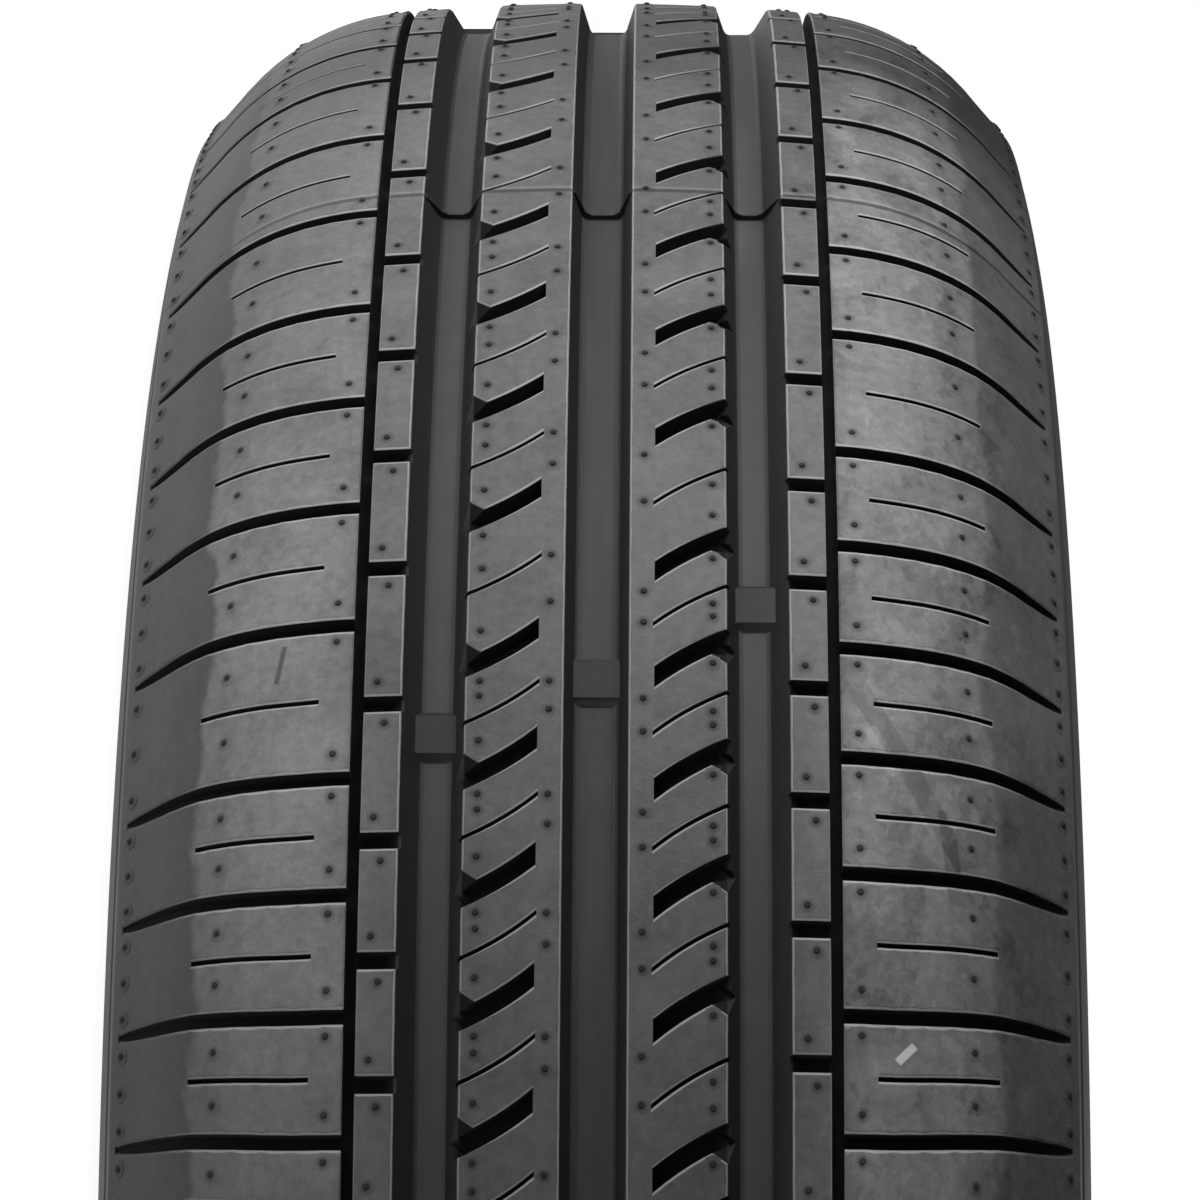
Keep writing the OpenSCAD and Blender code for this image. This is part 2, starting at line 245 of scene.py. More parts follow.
half += bend(liner_x, liner_z, LINER_ARC, toe_angle, 2, 14) + [(TREAD_R - CROWN_WALL, 0.0)]

ring = bmesh.new()
section = [ring.verts.new((0, -r * MM, z * MM)) for r, z in half]
line = [ring.edges.new(pair) for pair in zip(section, section[1:])]
bmesh.ops.mirror(ring, geom=section + line, merge_dist=1e-6, axis="Z")
bmesh.ops.remove_doubles(ring, verts=ring.verts, dist=1e-6)
bmesh.ops.spin(
    ring,
    geom=ring.verts[:] + ring.edges[:],
    cent=(0, 0, 0),
    axis=(0, 0, 1),
    angle=math.tau,
    steps=RING_STEPS,
    use_merge=True,
)
bmesh.ops.remove_doubles(ring, verts=ring.verts, dist=1e-6)
bmesh.ops.recalc_face_normals(ring, faces=ring.faces)
tyre_mesh = bpy.data.meshes.new("tyre_body")
ring.to_mesh(tyre_mesh)
ring.free()
tyre_body = bpy.data.objects.new("tyre_body", tyre_mesh)
scene.collection.objects.link(tyre_body)

# The cuts across the ribs, moulded by blades that stand in the mould: curved slots and sipes in the
# centre ribs, short slots in the narrow ribs, grooves and sipes in the shoulders. Each is lofted once
# with its edges flared, copied round in 70 pitches of three lengths, and cut out of the ring.
PITCHES = "SMSSSSLMMMLLLMSSMSLMSSMLSSMLMSSLMSMSLMSSMLSMMSLSSMLMSSLMMSLSSMLSSMMLML"
PITCH_LENGTH = {"S": 1.0, "M": 1.175, "L": 1.3975}
LOWER_CENTRE, UPPER_CENTRE, LOWER_SHOULDER, UPPER_SHOULDER = -3.44, -1.0, -9.37, 4.88
LOWER_NARROW, UPPER_NARROW = -0.2, 0.5
SLOT_TIP, SLOT_TIP_W, SLOT_MOUTH_W, SLOT_DEPTH = 11.5, 4.8, 4.4, 5.2
SLOT_CURVE, SLOT_SLOPE = 58.0, math.sin(math.radians(40.5))
CORNER_W, CORNER_L, SIPE_W, SIPE_DEPTH = 3.2, 3.9, 1.0, 4.0
EASE_DEPTH, EASE_RUN, BLADE_LIFT = 0.22, 3.0, 0.4
SHOULDER_BOW, MOUTH_RISE = 1.2, 0.6

round_length = sum(PITCH_LENGTH[p] for p in PITCHES)
starts, middles = [], []
for i, pitch in enumerate(PITCHES):
    before = sum(PITCH_LENGTH[p] for p in PITCHES[:i])
    starts.append(before * 360 / round_length)
    middles.append((before + PITCH_LENGTH[pitch] / 2) * 360 / round_length)


def lofted(loops):
    """A closed solid through loops of points in millimetres: x outwards, y round, z across."""
    shape = bmesh.new()
    rings = []
    for loop in loops:
        verts = [shape.verts.new(Vector(p) * MM) for p in loop]
        rings.append((verts, [shape.edges.new(pair) for pair in zip(verts, verts[1:] + verts[:1])]))
    for (_, near), (_, far) in zip(rings, rings[1:]):
        bmesh.ops.bridge_loops(shape, edges=near + far)
    for verts, _ in (rings[0], rings[-1]):
        shape.faces.new(verts)
    bmesh.ops.recalc_face_normals(shape, faces=shape.faces)
    mesh = bpy.data.meshes.new("blade")
    shape.to_mesh(mesh)
    shape.free()
    return mesh


def across(stations, draft=0.25):
    """A cut across the tread, bowed on the shoulder, through stations of (z, depth, half width)."""
    loops = []
    for z, depth, w in stations:
        bow = -SHOULDER_BOW * min(1.0, max(0.0, z - 60) / 19)
        lean = math.atan2(tread_radius(z) - tread_radius(z + 0.2), 0.2)
        out, along = math.cos(lean), math.sin(lean)
        r = tread_radius(z)
        foot, brim = max(w - draft, 0.15), w + EASE_RUN * (EASE_DEPTH + BLADE_LIFT)
        section = [(-foot, depth), (foot, depth), (w, EASE_DEPTH)]
        section += [(brim, -BLADE_LIFT), (-brim, -BLADE_LIFT), (-w, EASE_DEPTH)]
        loops.append([(r - d * out, y + bow, z - d * along) for y, d in section])
    return lofted(loops)


def slot_rise(z):
    """How far round the tread the centre slots' curve has risen at a distance from the mid-plane."""
    slope = SLOT_SLOPE - (z - SLOT_TIP) / SLOT_CURVE
    return SLOT_CURVE * (math.sqrt(1 - slope * slope) - math.sqrt(1 - SLOT_SLOPE**2))


def curved(half_width, depth, heights):
    """A cut along the curve of the centre slots, shallower where it meets the main groove."""
    loops = []
    for z in heights:
        slope = SLOT_SLOPE - (z - SLOT_TIP) / SLOT_CURVE
        reach = EASE_RUN * (EASE_DEPTH + BLADE_LIFT) / math.sqrt(1 - slope * slope)
        middle, w, top = -slot_rise(z), half_width(z), tread_radius(z)
        floor = tread_radius(inner) - depth * (1 - MOUTH_RISE * min(1.0, max(0.0, z - inner + 2) / 3))
        section = [(floor, w), (floor, -w), (top - EASE_DEPTH, -w), (top + BLADE_LIFT, -w - reach)]
        section += [(top + BLADE_LIFT, w + reach), (top - EASE_DEPTH, w)]
        loops.append([(x, middle + y, z) for x, y in section])
    return lofted(loops)


def slot_half(z):
    """Half the width of a centre slot at a distance from the mid-plane."""
    return (SLOT_TIP_W + (SLOT_MOUTH_W - SLOT_TIP_W) * (z - SLOT_TIP) / (inner - SLOT_TIP)) / 2


# The corner of the block beside each centre slot's mouth is taken off as a slope of 45 degrees.
corner_z = inner - CORNER_W
corner_y = slot_half(corner_z) - slot_rise(corner_z)
run = Vector((CORNER_W, slot_half(inner) + CORNER_L - slot_rise(inner) - corner_y))
run.normalize()
block_corner = []
for along in (-0.8, 7.0):
    section = []
    for aside, d in ((-1.2, -1.2), (5.0, 5.0), (5.0, -1.2)):
        y, z = corner_y + run.y * along - run.x * aside, corner_z + run.x * along + run.y * aside
        section.append((tread_radius(inner) - d, y, z))
    block_corner.append(section)
block_corner = lofted(block_corner)

groove_stations = [(z, 5.0, 1.5) for z in (47.2, 52.0, 58.0)]
groove_stations += [(64, 4.9, 1.5), (70, 4.6, 1.5), (75, 4.0, 1.5), (79, 3.4, 1.45)]
groove_stations += [(82, 2.9, 1.4), (85, 2.5, 1.35), (88, 2.1, 1.25), (91, 1.7, 1.1)]
groove_stations += [(93, 1.3, 0.9), (94.6, 0.5, 0.5)]
shoulder_groove = across(groove_stations)
sipe_ends = (55.0, 58.5, 62, 65.5, 69, 72.5, 76, 79.4)
shoulder_sipe = across([(z, SIPE_DEPTH, SIPE_W / 2) for z in sipe_ends], draft=0.05)
narrow_stations = [(37.4, 0.9, 1.75), (38.6, 1.5, 1.75), (41, 5.0, 1.75), (47.2, 5.0, 1.75)]
narrow_slot = across(narrow_stations)
slot_heights = spread(SLOT_TIP, inner - 2, 5) + spread(inner - 1, inner + 1.2, 2)
centre_slot = curved(slot_half, SLOT_DEPTH, slot_heights)
sipe_heights = spread(SLOT_TIP - 0.3, inner - 2, 6) + [inner, inner + 1]
centre_sipe = curved(lambda z: SIPE_W / 2, SIPE_DEPTH, sipe_heights)

turned_over = Matrix.Rotation(math.pi, 4, "X")
mirrored = Matrix.Scale(-1, 4, (0, 0, 1))
upright = Matrix.Identity(4)
places, corner_places = [], []
for start, middle in zip(starts, middles):
    corner_places.append((block_corner, UPPER_CENTRE + start, upright))
    corner_places.append((block_corner, LOWER_CENTRE + start, turned_over))
    places += [
        (centre_slot, UPPER_CENTRE + start, upright),
        (centre_slot, LOWER_CENTRE + start, turned_over),
        (centre_sipe, UPPER_CENTRE + middle, upright),
        (centre_sipe, LOWER_CENTRE + middle, turned_over),
        (shoulder_groove, UPPER_SHOULDER + start, upright),
        (shoulder_groove, LOWER_SHOULDER + start, mirrored),
        (shoulder_sipe, UPPER_SHOULDER + middle, upright),
        (shoulder_sipe, LOWER_SHOULDER + middle, mirrored),
        (narrow_slot, UPPER_SHOULDER + middle + UPPER_NARROW, upright),
        (narrow_slot, LOWER_SHOULDER + middle + LOWER_NARROW, mirrored),
    ]


def placed_round(shape, mesh, turn, flip):
    """Adds a copy of a mesh at a turn: 0 faces the viewer and turns grow upwards in the picture."""
    first = len(shape.verts)
    shape.from_mesh(mesh)
    shape.verts.ensure_lookup_table()
    place = Matrix.Rotation(math.radians(270 - turn), 4, "Z") @ flip
    bmesh.ops.transform(shape, matrix=place, verts=shape.verts[first:])


def cut_or_join(target, shape, operation):
    """Cuts a shape out of a piece, or joins it on, and keeps the result as the piece's mesh."""
    bmesh.ops.recalc_face_normals(shape, faces=shape.faces)
    mesh = bpy.data.meshes.new("tool")
    shape.to_mesh(mesh)
    shape.free()
    tool = bpy.data.objects.new("tool", mesh)
    scene.collection.objects.link(tool)
    cut = target.modifiers.new("cut", "BOOLEAN")
    cut.operation, cut.solver, cut.object = operation, "MANIFOLD", tool
    graph = bpy.context.evaluated_depsgraph_get()
    result = bpy.data.meshes.new_from_object(target.evaluated_get(graph))
    target.modifiers.remove(cut)
    target.data = result
    bpy.data.objects.remove(tool)


# Wear bars: low rubber bars across the three wide grooves, moulded in one with the groove floors.
# They stand 1.6 mm over the floor, six to a groove, with a slope at each end.
BARS, BAR_H, BAR_ROOT, BAR_L, BAR_SLOPE, BAR_INSET = 6, 1.6, 1.0, 13.0, 2.4, 3.0
BAR_TURNS = ((20.15, -outer, -inner), (22.45, -centre, centre), (25.65, inner, outer))
bars = bmesh.new()
for turn, low, high in BAR_TURNS:
    block = bmesh.new()
    bmesh.ops.create_cube(block, size=MM)
    block_size = (BAR_ROOT + BAR_H, BAR_L, high - low - BAR_INSET)
    bmesh.ops.scale(block, vec=block_size, verts=block.verts)
    for v in block.verts:
        if v.co.x > 0:
            v.co.y -= math.copysign(BAR_SLOPE * MM, v.co.y)
    bar_r = TREAD_R - GROOVE_DEPTH + (BAR_H - BAR_ROOT) / 2
    seat = Vector((bar_r, 0, (low + high) / 2)) * MM
    bmesh.ops.translate(block, vec=seat, verts=block.verts)
    bar = bpy.data.meshes.new("bar")
    block.to_mesh(bar)
    block.free()
    for i in range(BARS):
        placed_round(bars, bar, turn + i * 360 / BARS, upright)

# Flash: where the mould's eight parts meet, a thin fin of rubber runs down the walls and across the
# floor of each wide groove. It is one lofted plate per groove, joined on before the cuts are made.
MOULD_PARTS, SEAM_TURN, FIN_T, FIN_H = 8, 47.4, 0.5, 0.9
GROOVES = (
    (-outer, -inner, OUTER_DRAFT, INNER_DRAFT),
    (-centre, centre, INNER_DRAFT, INNER_DRAFT),
    (inner, outer, INNER_DRAFT, OUTER_DRAFT),
)
for low, high, low_draft, high_draft in GROOVES:
    top, floor = tread_radius(max(abs(low), abs(high))) - 0.8, TREAD_R - GROOVE_DEPTH
    bottom = floor + FIN_H
    low_foot, high_foot = low + low_draft, high - high_draft
    outline = [(low - 1, top), (low_foot - 1, floor - 1), (high_foot + 1, floor - 1), (high + 1, top)]
    outline += [(high - 0.7, top), (high - 0.9 * high_draft - 0.7, bottom + 0.7)]
    outline += [(high_foot - 1.8, bottom), (low_foot + 1.8, bottom)]
    outline += [(low + 0.9 * low_draft + 0.7, bottom + 0.7), (low + 0.7, top)]
    fin = lofted([[(r, side * FIN_T / 2, z) for z, r in outline] for side in (-1, 1)])
    for i in range(MOULD_PARTS):
        placed_round(bars, fin, SEAM_TURN + i * 360 / MOULD_PARTS, upright)
cut_or_join(tyre_body, bars, "UNION")
for cuts in (places, corner_places):
    blades = bmesh.new()
    for mesh, turn, flip in cuts:
        placed_round(blades, mesh, turn, flip)
    cut_or_join(tyre_body, blades, "DIFFERENCE")

tyre_body.data.shade_smooth()
tyre_body.data.set_sharp_from_angle(angle=math.radians(16))


class Shade:
    """A socket of a material. Arithmetic on it adds Math nodes, and make adds any other node."""

    def __init__(self, tree, socket=None):
        self.tree, self.socket = tree, socket

    def make(self, kind, settings, values, out=0):
        """Adds a node with its settings and its inputs' values, and gives one of its outputs."""
        node = self.tree.nodes.new(kind)
        for name, value in settings.items():
            setattr(node, name, value)
        for place, value in values.items():
            if isinstance(value, Shade):
                self.tree.links.new(value.socket, node.inputs[place])
            else:
                node.inputs[place].default_value = value
        return Shade(self.tree, node.outputs[out])

    def maths(self, operation, *values):
        return self.make("ShaderNodeMath", {"operation": operation}, dict(enumerate(values)))

    def __add__(self, other):
        return self.maths("ADD", self, other)

    def __sub__(self, other):
        return self.maths("SUBTRACT", self, other)

    def __rsub__(self, other):
        return self.maths("SUBTRACT", other, self)

    def __mul__(self, other):
        return self.maths("MULTIPLY", self, other)

    def __truediv__(self, other):
        return self.maths("DIVIDE", self, other)

    __radd__, __rmul__ = __add__, __mul__

    def step(self, low, high, start=0.0, end=1.0):
        """Smooth change from start to end as this value goes from low to high."""
        settings = {"interpolation_type": "SMOOTHSTEP"}
        return self.make("ShaderNodeMapRange", settings, {0: self, 1: low, 2: high, 3: start, 4: end})

    def noise(self, place, scale, detail=2.0, rough=0.5):
        values = {"Vector": place, "Scale": scale, "Detail": detail, "Roughness": rough}
        return self.make("ShaderNodeTexNoise", {}, values)


rubber = bpy.data.materials.new("tyre_rubber")
rubber.use_nodes = True
sheet = rubber.node_tree
shader = sheet.nodes["Principled BSDF"]
shade = Shade(sheet)
place = shade.make("ShaderNodeTexCoord", {}, {}, out="Object")
xyz = sheet.nodes.new("ShaderNodeSeparateXYZ")
sheet.links.new(place.socket, xyz.inputs[0])
x, y, z = (Shade(sheet, xyz.outputs[i]) for i in range(3))
wide = shade.maths("ABSOLUTE", z) * 1000
radius = shade.maths("SQRT", x * x + y * y) * 1000
crown = TREAD_R - wide * wide / (2 * CROWN_ARC)
up_arc = shade.maths("MAXIMUM", shade.maths("MINIMUM", wide, BUTTRESS_Z) - shoulder_z, 0.0)
down = shade.maths("MAXIMUM", wide - BUTTRESS_Z, 0.0) * buttress_rise
shoulder = shade.maths("SQRT", shoulder_arc**2 - up_arc * up_arc) + shoulder_x - down
beside = shade.maths("GREATER_THAN", wide, land_end)
depth = crown * (1 - beside) + shoulder * beside - radius

# Rubber tones: the ribs carry a pale bloom with blotches and rubbed streaks that stops on the shoulder along a ragged
# line. Edges are paler, partly dust and partly a painted highlight along their rounding, and groove floors greyer than
# their walls.
turn = shade.maths("ARCTAN2", 0 - x, 0 - y) * math.degrees(1)
arc = turn * math.radians(TREAD_R)
in_middle = wide.step(centre + 0.2, centre - 0.2)
in_main = wide.step(inner - 0.2, inner + 0.2) * wide.step(outer + 0.2, outer - 0.2)
in_groove = in_middle + in_main
on_rib = depth.step(0.5, 0.15)
# The ring's facets lie a little under the shoulder's true arc, and that isn't an edge.
facet_dip = 0.05 * wide.step(47.0, 57.0)
# Rounded edges are painted paler: some dust, and a painted highlight where light would catch them.
edge_dust_and_highlight = (depth - facet_dip).step(0.05, 0.09) * depth.step(0.42, 0.3) * wide.step(88.0, 76.0)
in_slot = depth.step(0.3, 0.6) * (1 - in_groove) * wide.step(95.6, 94.4)
on_floor = depth.step(6.4, 6.9) * in_groove
on_foot = depth.step(6.1, 6.5) * depth.step(7.3, 6.9) * in_groove
blotch = shade.noise(place, 32.0, 4.0, 0.65)
cloud = shade.noise(place, 70.0, 3.0, 0.5)
speck = shade.noise(place, 420.0, 4.0, 0.7)
grain = shade.noise(place, 1400.0, 2.0, 0.6)
drawn = shade.make("ShaderNodeCombineXYZ", {}, {0: arc * 0.02, 1: z * 260.0, 2: 0.0})
streak = shade.noise(drawn, 1.0, 4.0, 0.6)
slanted = {0: arc * 0.06 + z * 40.0, 1: z * 90.0 - arc * 0.03, 2: 0.0}
swept = shade.make("ShaderNodeCombineXYZ", {}, slanted)
sweep = shade.noise(swept, 1.0, 5.0, 0.65)
first_step = (wide + 22 * cloud - 11).step(71.0, 73.0)
second_step = (wide + 14 * blotch - 7).step(77.5, 79.5)
bloom = 1 - 0.14 * first_step - (0.34 + 0.28 * z.step(-0.06, -0.08)) * second_step
rub = 1.3 * (blotch - 0.5) + 0.8 * (cloud - 0.5) + 1.3 * (speck - 0.5) + 0.35 * (streak - 0.5)
swept_band = z.step(0.04, 0.05) * z.step(0.09, 0.08)
rub = rub + 0.3 * (sweep.step(0.56, 0.6) - sweep.step(0.44, 0.4)) * swept_band
tone = 0.16 * bloom * (1 + 0.8 * rub)
# Painted light: the narrow ribs and shoulders are painted lighter than the middle ribs, and the shoulder on the right
# in the picture most.
painted_side_light = 0.45 * wide.step(46.0, 50.0) + 0.15 * wide.step(37.0, 40.0) + 0.2 * z.step(0.045, 0.055)
tone = tone * (1 + painted_side_light)
# Painted shade: the middle ribs are painted darker towards the bottom, where the tread faces away from the lamps.
painted_shade_low_middle = turn.step(30.0, 20.0) * wide.step(47.0, 38.0)
# Painted light: a patch of the left shoulder, low in the picture, is painted lighter.
painted_light_left_patch = turn.step(5.0, 17.0) * turn.step(38.0, 28.0) * z.step(-0.045, -0.06)
# Painted shade: the tread is painted darker towards the top, and the shoulders most, where it turns away from the
# light.
painted_shade_top = turn.step(54.0, 63.0)
tone = tone * (1 - 0.2 * painted_shade_low_middle) * (1 + 0.3 * painted_light_left_patch)
# Painted shade: the left half of the tread is painted darker from the middle of the picture upwards.
painted_shade_upper_left = turn.step(32.0, 58.0) * z.step(-0.04, -0.06)
tone = tone * (1 - 0.28 * painted_shade_top * (wide.step(44.0, 52.0) + 0.5)) * (1 - 0.32 * painted_shade_top)
tone = tone * (1 - 0.28 * painted_shade_upper_left)
# Painted sheen: a streak on the floor of the right main groove is painted paler, like light off wet rubber.
painted_sheen_streak = turn.step(43.0, 46.0) * turn.step(57.0, 54.0) * z.step(0.02, 0.028) * z.step(0.04, 0.034)
floor_tone = (0.002 + 0.055 * streak) * on_floor * (1 + 1.3 * painted_sheen_streak) + 0.03 * on_foot
in_tread = wide.step(96.2, 95.4) * depth.step(9.5, 8.5)
plain_tone = 0.065 - 0.045 * in_tread
tone = on_rib * (tone + 0.3 * edge_dust_and_highlight) + (1 - on_rib) * (plain_tone + floor_tone + 0.2 * edge_dust_and_highlight)

# The flash line goes on over the ribs only as paint: a fine painted highlight with a painted shadow beneath it.
half_part = 180 / MOULD_PARTS
past_seam = shade.maths("WRAP", turn - SEAM_TURN, half_part, -half_part) * radius * math.radians(1)
seam_shadow = past_seam.step(-1.3, -0.9) * past_seam.step(0.4, 0.1)
seam_highlight = past_seam.step(0.1, 0.4) * past_seam.step(1.5, 1.1)
# Painted shadow: the groove floor beside each flash fin is painted near black.
fin_shadow_on_floor = past_seam.step(-1.1, -0.7) * past_seam.step(-0.15, -0.22)
fin_shadow_on_floor = fin_shadow_on_floor * (1 - on_rib) * in_groove * in_tread
tone = tone * (1 - 0.6 * on_rib * seam_shadow) * (1 - 0.95 * fin_shadow_on_floor)
tone = tone + (0.04 + 0.04 * on_rib) * seam_highlight * (1 - in_slot) * wide.step(80.0, 74.0) * in_tread


# Marks of use on the shoulders: a slanted chalk dash and rubbed swipes on one side, and a short dark
# smear on the other.
def dash(z_from, arc_from, z_to, arc_to, half_width):
    """Mask of a straight mark between two points given in millimetres across and round the tread."""
    long = math.hypot(z_to - z_from, arc_to - arc_from)
    across_z, across_arc = (z_to - z_from) / long, (arc_to - arc_from) / long
    from_z, from_arc = z * 1000 - z_from, arc - arc_from
    run_along = from_z * across_z + from_arc * across_arc
    aside = shade.maths("ABSOLUTE", from_z * across_arc - from_arc * across_z)
    ends = run_along.step(-0.2, 0.2) * run_along.step(long + 0.2, long - 0.2)
    return ends * aside.step(half_width + 0.2, half_width - 0.2) * on_rib


chalk = dash(58.8, 42.8, 62.2, 46.2, 0.8)
smear = dash(-62.3, 131.0, -63.8, 122.5, 0.5)
swipes = dash(50.0, 124.0, 73.0, 84.0, 2.2) + dash(73.0, 184.0, 81.0, 196.0, 3.0)
swipes = (swipes + dash(69.0, 96.0, 71.0, 76.0, 1.6)) * (cloud + 0.4 * speck).step(0.62, 0.72)
swipes = 0.3 * swipes - 0.25 * dash(54.0, 112.0, 60.0, 101.0, 1.4)
tone = tone * (1 - chalk) * (1 - 0.65 * smear) * (1 - swipes) + chalk

# Slots are painted near black, painted shade deep in them, and a vent stub is dark at its middle and fades into the
# rib around it.
stub_dark = shade.make("ShaderNodeAttribute", {"attribute_name": "stub_dark"}, {}, out="Fac")
tone = tone * (1 - 0.88 * in_slot) * (1 - stub_dark * (0.85 + 0.3 * (speck - 0.5)))
colour = shade.make("ShaderNodeCombineColor", {}, {0: tone, 1: tone, 2: tone * 1.01})
sheet.links.new(colour.socket, shader.inputs["Base Color"])
gloss = 0.62 - 0.1 * on_rib + 0.15 * (blotch - 0.5) + 0.33 * in_slot + 0.3 * stub_dark
sheet.links.new(gloss.socket, shader.inputs["Roughness"])
bump = shade.make("ShaderNodeBump", {}, {"Height": grain + speck, "Distance": 0.00012, "Strength": 0.6})
sheet.links.new(bump.socket, shader.inputs["Normal"])
tyre_body.data.materials.clear()
tyre_body.data.materials.append(rubber)
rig.ride(tyre_body, "root")
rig.replaces(tyre_body, "tyre")
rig.slot(tyre_body, "tyre")

# Vent stubs: the short rubber nibs left by the holes that let air out of the mould, trimmed close.
# Each stands in a thin round pad that fades into the rib, and a pitch has twenty-eight, in rows.
nib = bmesh.new()
darkness = nib.verts.layers.float.new("stub_dark")
PAD_R, PAD_SINK = 1.9, 0.3
bmesh.ops.create_circle(nib, segments=8, radius=PAD_R * MM, cap_ends=True)
top_face = nib.faces[:]
for inset_by, rise, dark in ((0, 0.26, 0.0), (1.0, 0.1, 0.4), (0.3, 0.02, 1.0), (0.12, 0.3, 1.0)):
    if inset_by:
        bmesh.ops.inset_region(nib, faces=top_face, thickness=inset_by * MM)
    else:
        top_face = bmesh.ops.extrude_discrete_faces(nib, faces=top_face)["faces"]
    bmesh.ops.translate(nib, vec=(0, 0, rise * MM), verts=top_face[0].verts[:])
    for v in top_face[0].verts:
        v[darkness] = dark
bmesh.ops.holes_fill(nib, edges=[e for e in nib.edges if e.is_boundary])
bmesh.ops.recalc_face_normals(nib, faces=nib.faces)
nib_mesh = bpy.data.meshes.new("nib")
nib.to_mesh(nib_mesh)
nib.free()

INNER_ROW, MIDDLE_ROW, OUTER_ROW, SLOT_ROW, GROOVE_ROW = 51.8, 73.9, 93.6, 23.1, 9.3
LEFT_NARROW_ROW, RIGHT_NARROW_ROW = 42.4, 42.5
one_mm = math.degrees(1 / TREAD_R)
spots = []
for i in range(len(PITCHES)):
    low, middle = starts[i], middles[i]
    high = starts[(i + 1) % len(PITCHES)] + (360 if i + 1 == len(PITCHES) else 0)
    size = high - low
    upper_side, lower_side = (1, UPPER_SHOULDER, UPPER_NARROW), (-1, LOWER_SHOULDER, LOWER_NARROW)
    for side, turn, slot_turn in (upper_side, lower_side):
        spots += [(INNER_ROW * side, turn + high - 3.8 * one_mm)]
        spots += [(INNER_ROW * side, turn + low + 5.3 * one_mm)]
        spots += [(MIDDLE_ROW * side, turn + middle + share * size) for share in (0.27, -0.17)]
        spots += [(OUTER_ROW * side, turn + low + size * k + 1.2 * one_mm) for k in (1 / 6, 1 / 2, 5 / 6)]
        spots += [((LEFT_NARROW_ROW - side) * side, turn + slot_turn + middle + 4.9 * one_mm)]
        spots += [((RIGHT_NARROW_ROW + 0.7 * side) * side, turn + slot_turn + middle - 4.3 * one_mm)]
    upper_rib = (1, UPPER_CENTRE, (3.2, 14, 4.7), -5)
    lower_rib = (-1, LOWER_CENTRE, (-0.7, -12.2, -3.2), 6)
    for side, turn, outer_row, inner_spot in (upper_rib, lower_rib):
        spots += [(SLOT_ROW * side, turn + low + d * one_mm) for d in outer_row[:2]]
        spots += [(SLOT_ROW * side, turn + middle + outer_row[2] * one_mm)]
        spots += [(GROOVE_ROW * side, turn + low + inner_spot * one_mm), (GROOVE_ROW * side, turn + middle)]

vents = bmesh.new()
for spot_z, turn in spots:
    first = len(vents.verts)
    vents.from_mesh(nib_mesh)
    vents.verts.ensure_lookup_table()
    r = tread_radius(spot_z)
    lean = math.atan2(tread_radius(abs(spot_z)) - tread_radius(abs(spot_z) + 0.2), 0.2)
    tilt = Matrix.Rotation(math.pi / 2 - math.copysign(lean, spot_z), 4, "Y")
    seat = Matrix.Translation(((r - PAD_SINK) * MM, 0, spot_z * MM)) @ tilt
    place_round = Matrix.Rotation(math.radians(270 - turn), 4, "Z") @ seat
    bmesh.ops.transform(vents, matrix=place_round, verts=vents.verts[first:])
vent_mesh = bpy.data.meshes.new("vent_stubs")
vents.to_mesh(vent_mesh)
vents.free()
vent_stubs = bpy.data.objects.new("vent_stubs", vent_mesh)
scene.collection.objects.link(vent_stubs)
vent_mesh.shade_smooth()
vent_mesh.set_sharp_from_angle(angle=math.radians(40))
vent_mesh.materials.append(rubber)
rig.ride(vent_stubs, "root")
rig.slot(vent_stubs, "tyre")

# The floor: a wide pale studio sheet that the tyre lies on. It shows white to the camera and keeps
# a faint shadow of the tyre.
floor_shape = bmesh.new()
bmesh.ops.create_grid(floor_shape, x_segments=1, y_segments=1, size=30)
bmesh.ops.translate(floor_shape, vec=(0, 0, cad_box[0][2] - 0.0002), verts=floor_shape.verts)
floor_mesh = bpy.data.meshes.new("floor")
floor_shape.to_mesh(floor_mesh)
floor_shape.free()
floor = bpy.data.objects.new("floor", floor_mesh)
scene.collection.objects.link(floor)
pale = bpy.data.materials.new("pale_floor")
pale.use_nodes = True
tree = pale.node_tree
floor_shade = Shade(tree)
RAYS = ("Is Camera Ray", "Is Glossy Ray", "Is Transmission Ray")
ray = [floor_shade.make("ShaderNodeLightPath", {}, {}, out=name) for name in RAYS]
seen = floor_shade.maths("MAXIMUM", ray[0], floor_shade.maths("MAXIMUM", ray[1], ray[2]))
matt = tree.nodes["Principled BSDF"]
matt.inputs["Base Color"].default_value = (0.8, 0.8, 0.8, 1)
matt.inputs["Roughness"].default_value = 0.9
matt.inputs["Emission Strength"].default_value = 1.0
tree.links.new((seen * 0.93).socket, matt.inputs["Emission Color"])
floor_mesh.materials.append(pale)
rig.stage(floor)

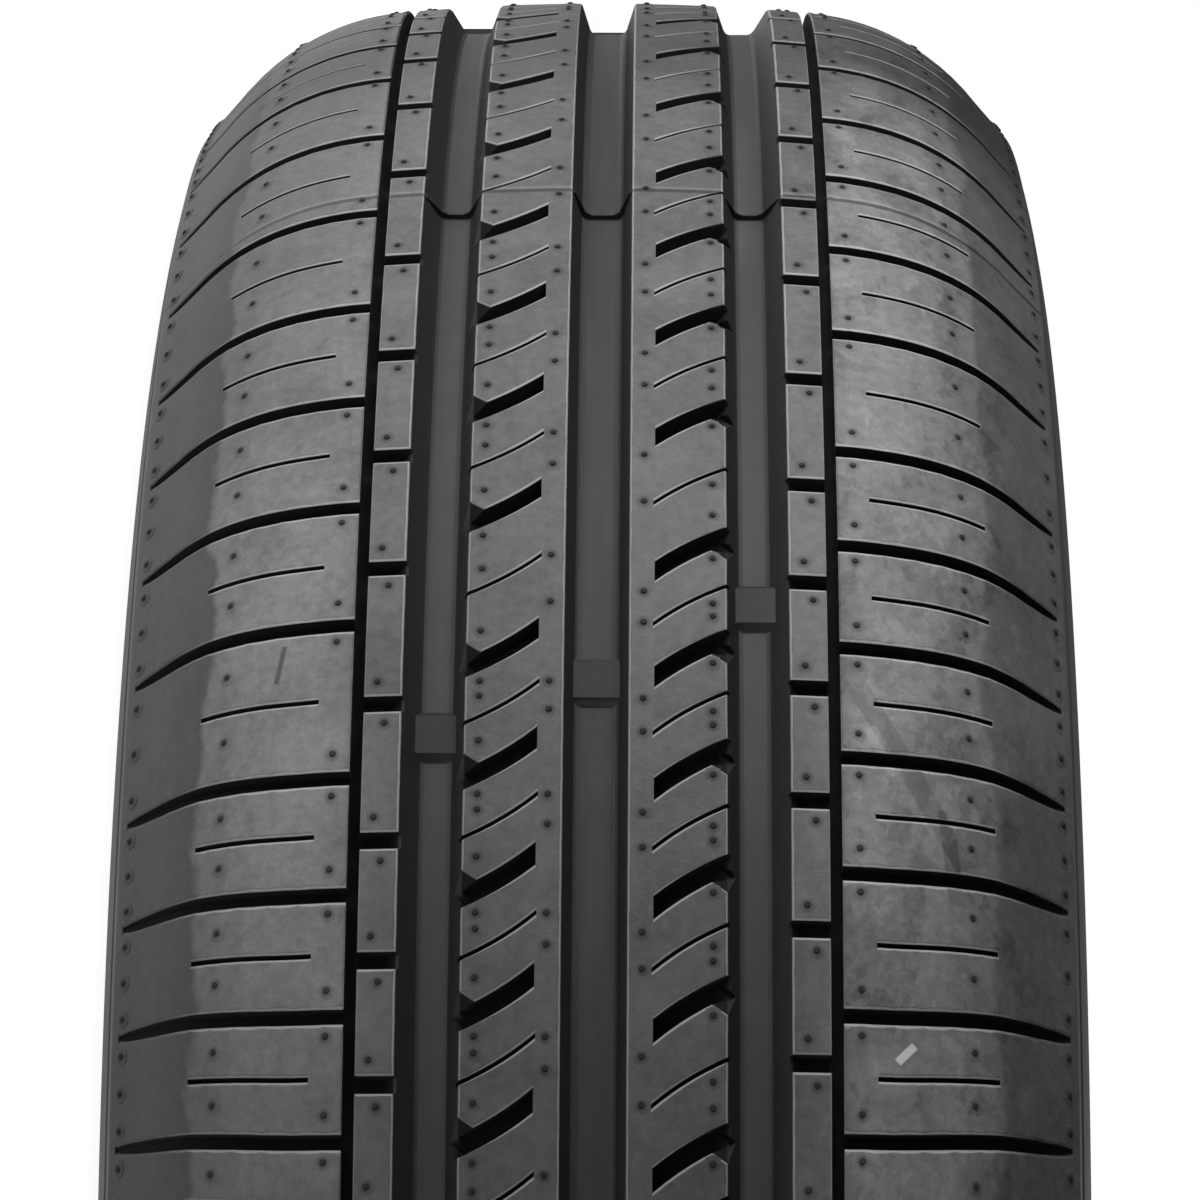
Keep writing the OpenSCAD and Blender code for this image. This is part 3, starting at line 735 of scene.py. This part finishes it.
# Light: two soft lamps close above and in front of the tread, in the picture's sense, a large one
# behind, and an even pale world that is white where the camera sees it.
world = bpy.data.worlds.new("studio")
scene.world = world
world.use_nodes = True
tree = world.node_tree
world_shade = Shade(tree)
ray = [world_shade.make("ShaderNodeLightPath", {}, {}, out=name) for name in RAYS]
seen = world_shade.maths("MAXIMUM", ray[0], ray[2])
tree.links.new(seen.step(0.0, 1.0, 0.08, 1.0).socket, tree.nodes["Background"].inputs["Strength"])
tree.nodes["Background"].inputs["Color"].default_value = (1, 1, 1, 1)


def soft_lamp(name, spot, aim, width, power):
    """A round area lamp at a spot, facing the point that it is aimed at."""
    lamp = bpy.data.lights.new(name, "AREA")
    lamp.shape, lamp.size, lamp.energy = "DISK", width, power
    holder = bpy.data.objects.new(name, lamp)
    holder.location = spot
    holder.rotation_euler = (Vector(aim) - Vector(spot)).to_track_quat("-Z", "Y").to_euler()
    scene.collection.objects.link(holder)


soft_lamp("key_lamp", (-0.468, -0.52, 0.1), (-0.2, -0.223, 0.02), 0.3, 0.85)
soft_lamp("top_lamp", (-0.594, -0.371, 0.12), (-0.254, -0.159, 0.03), 0.3, 0.34)
soft_lamp("back_lamp", (0.9, 1.9, 1.1), (0.1, 0.2, 0), 1.2, 45)

# Camera: where the photograph was taken from, level with the tyre's axis and 10 mm off the mid-plane,
# aimed a little above the axis. It is turned on its side because the tyre lies down here.
yaw, rise, roll = math.radians(-0.507), math.radians(7.269), math.radians(0.319)
ahead = Vector((-math.sin(rise), math.cos(yaw) * math.cos(rise), math.sin(yaw) * math.cos(rise)))
right = Vector((0, -math.sin(yaw), math.cos(yaw)))
above = right.cross(ahead)
side = right * math.cos(roll) + above * math.sin(roll)
top = above * math.cos(roll) - right * math.sin(roll)
lens = bpy.data.cameras.new("camera")
LENS_MM, SENSOR_MM, CAMERA_BACK, CAMERA_UP = 160.125, 36.0, 1.3446, 0.00996
lens.lens, lens.sensor_width, lens.clip_start = LENS_MM, SENSOR_MM, 0.05
camera = bpy.data.objects.new("camera", lens)
scene.collection.objects.link(camera)
turned = Matrix((side, top, -ahead)).transposed().to_4x4()
camera.matrix_world = Matrix.Translation((0, -CAMERA_BACK, CAMERA_UP)) @ turned
scene.camera = camera

size = open("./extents.json", "w")
json.dump({"cad": [list(c) for c in cad_box], "visual": [list(c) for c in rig.bounds()]}, size)
size.close()
